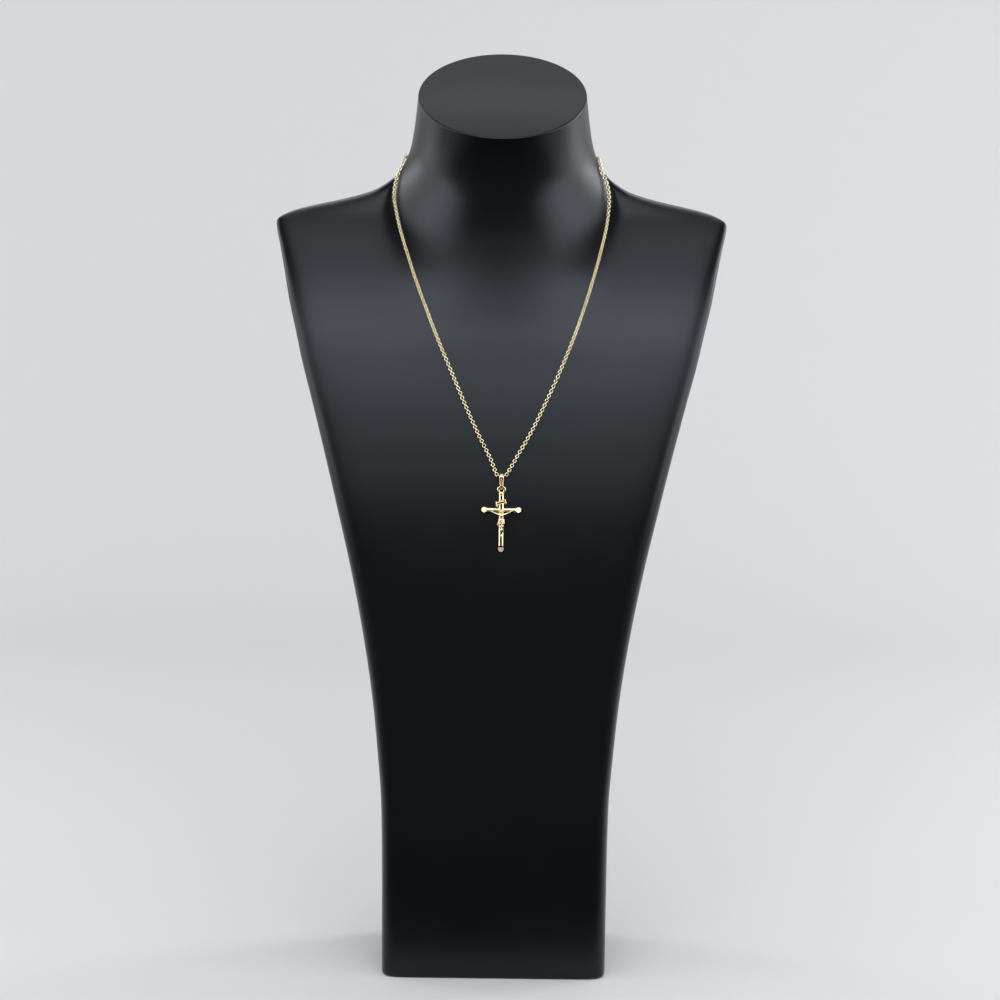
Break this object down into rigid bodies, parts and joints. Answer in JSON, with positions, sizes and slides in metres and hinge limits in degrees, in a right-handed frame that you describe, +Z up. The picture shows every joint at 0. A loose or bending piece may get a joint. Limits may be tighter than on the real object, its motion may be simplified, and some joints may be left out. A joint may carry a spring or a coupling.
{
  "type": "crucifix pendant necklace on a neck bust",
  "caption": "Tall dark neck bust wearing a fine cable chain; a crucifix of round tube with slant-cut ends, a bare title scroll and a small cast figure hangs from a narrow bail.",
  "frame": {"origin": "middle of the flat underside of the bust", "axes": "+Z up, the wearer's front and the crucifix face -Y, +X to the viewer's right"},
  "size_m": [0.232, 0.1052, 0.4721],
  "materials": {
    "lacquer": "satin black lacquer sprayed on a smooth moulded shell",
    "gold_wire": "yellow gold wire, drawn, soldered and tumbled bright",
    "gold_polished": "yellow gold tube and strip, polished",
    "gold_cast": "yellow gold, lost-wax cast, polished on its high points"
  },
  "bodies": {
    "stand": {"bust": "lacquer", "chain": "gold_wire", "clasp": "gold_wire"},
    "bail_loop": {"bail": "gold_polished"},
    "crucifix": {"cross": "gold_polished", "scroll": "gold_cast", "figure": "gold_cast"}
  },
  "joints": [
    {"name": "bail_swing", "type": "hinge", "parent": "stand", "child": "bail_loop", "pos_m": [0.0018, -0.046, 0.2604], "axis": [-1, 0, 0], "range_deg": [0, 90]},
    {"name": "cross_swing", "type": "hinge", "parent": "bail_loop", "child": "crucifix", "pos_m": [0.0018, -0.046, 0.25405], "axis": [0, 1, 0], "range_deg": [-40, 40]}
  ]
}
